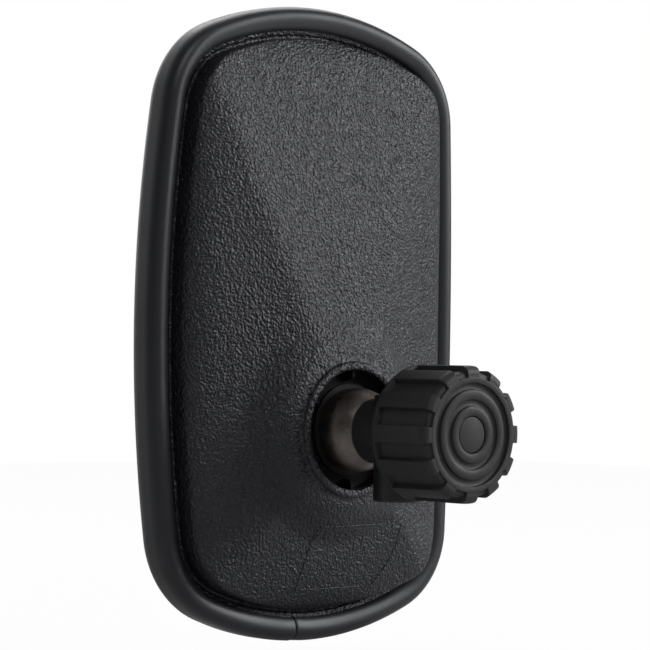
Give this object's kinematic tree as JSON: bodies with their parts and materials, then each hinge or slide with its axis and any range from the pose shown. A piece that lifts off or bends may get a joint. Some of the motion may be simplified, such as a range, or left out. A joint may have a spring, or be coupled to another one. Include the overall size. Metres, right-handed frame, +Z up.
{
  "type": "interior rearview mirror",
  "caption": "Tall convex interior mirror with a domed plastic back and rubber edge, on a friction ball joint with a vertical rod clamp tightened by a ribbed round knob.",
  "frame": {"origin": "crossing of the vertical rod socket's axis and the clamp knob's axis", "axes": "+Z up along the mirror's height and the rod socket, +Y from the clamp towards the glass, +X to the right seen from behind"},
  "size_m": [0.1602, 0.1051, 0.25],
  "materials": {
    "shell_plastic": "spark-eroded grain",
    "edge_rubber": "satin",
    "clear_glass": "polished",
    "silvering": "mirror coat with dark protective paint on its back",
    "foam": "closed-cell foam",
    "nylon": "black nylon",
    "zinc_steel": "zinc plated",
    "stem_casting": "dark coat, ball left satin",
    "brass": "turned",
    "knob_plastic": "fine satin"
  },
  "bodies": {
    "stem": {"ball_stem": "stem_casting", "clamp_nut": "zinc_steel", "pivot_bolt": "zinc_steel", "flat_washer": "zinc_steel", "disc_springs": "zinc_steel", "dome_washer": "zinc_steel"},
    "liner": {"friction_liner": "nylon"},
    "ring": {"slide_ring": "nylon"},
    "head": {"back_shell": "shell_plastic", "edge_trim": "edge_rubber", "mirror_glass": "clear_glass", "silver_backing": "silvering", "foam_seal": "foam"},
    "pad": {"pressure_pad": "brass"},
    "knob": {"knob_body": "knob_plastic", "knob_insert": "brass", "knob_cap": "knob_plastic", "thrust_washer": "nylon", "clamp_screw": "zinc_steel", "retaining_clip": "zinc_steel"}
  },
  "joints": [
    {"name": "head_swivel", "type": "hinge", "parent": "stem", "child": "liner", "pos_m": [0, 0.0244, 0], "axis": [0, 1, 0], "range_deg": [-180, 180]},
    {"name": "head_tilt", "type": "hinge", "parent": "liner", "child": "ring", "pos_m": [0, 0.0244, 0], "axis": [1, 0, 0], "range_deg": [-15, 15]},
    {"name": "head_pan", "type": "hinge", "parent": "ring", "child": "head", "pos_m": [0, 0.0244, 0], "axis": [0, 0, 1], "range_deg": [-15, 15]},
    {"name": "pad_slide", "type": "slide", "parent": "stem", "child": "pad", "axis": [0, 1, 0], "range_m": [-0.0038, 0.0003]},
    {"name": "knob_turn", "type": "hinge", "parent": "pad", "child": "knob", "pos_m": [0, 0, 0], "axis": [0, 1, 0], "range_deg": [-1080, 72]}
  ],
  "couplings": [
    {"joint": "pad_slide", "follows": "knob_turn", "m_per_rad": 0.00019894}
  ]
}
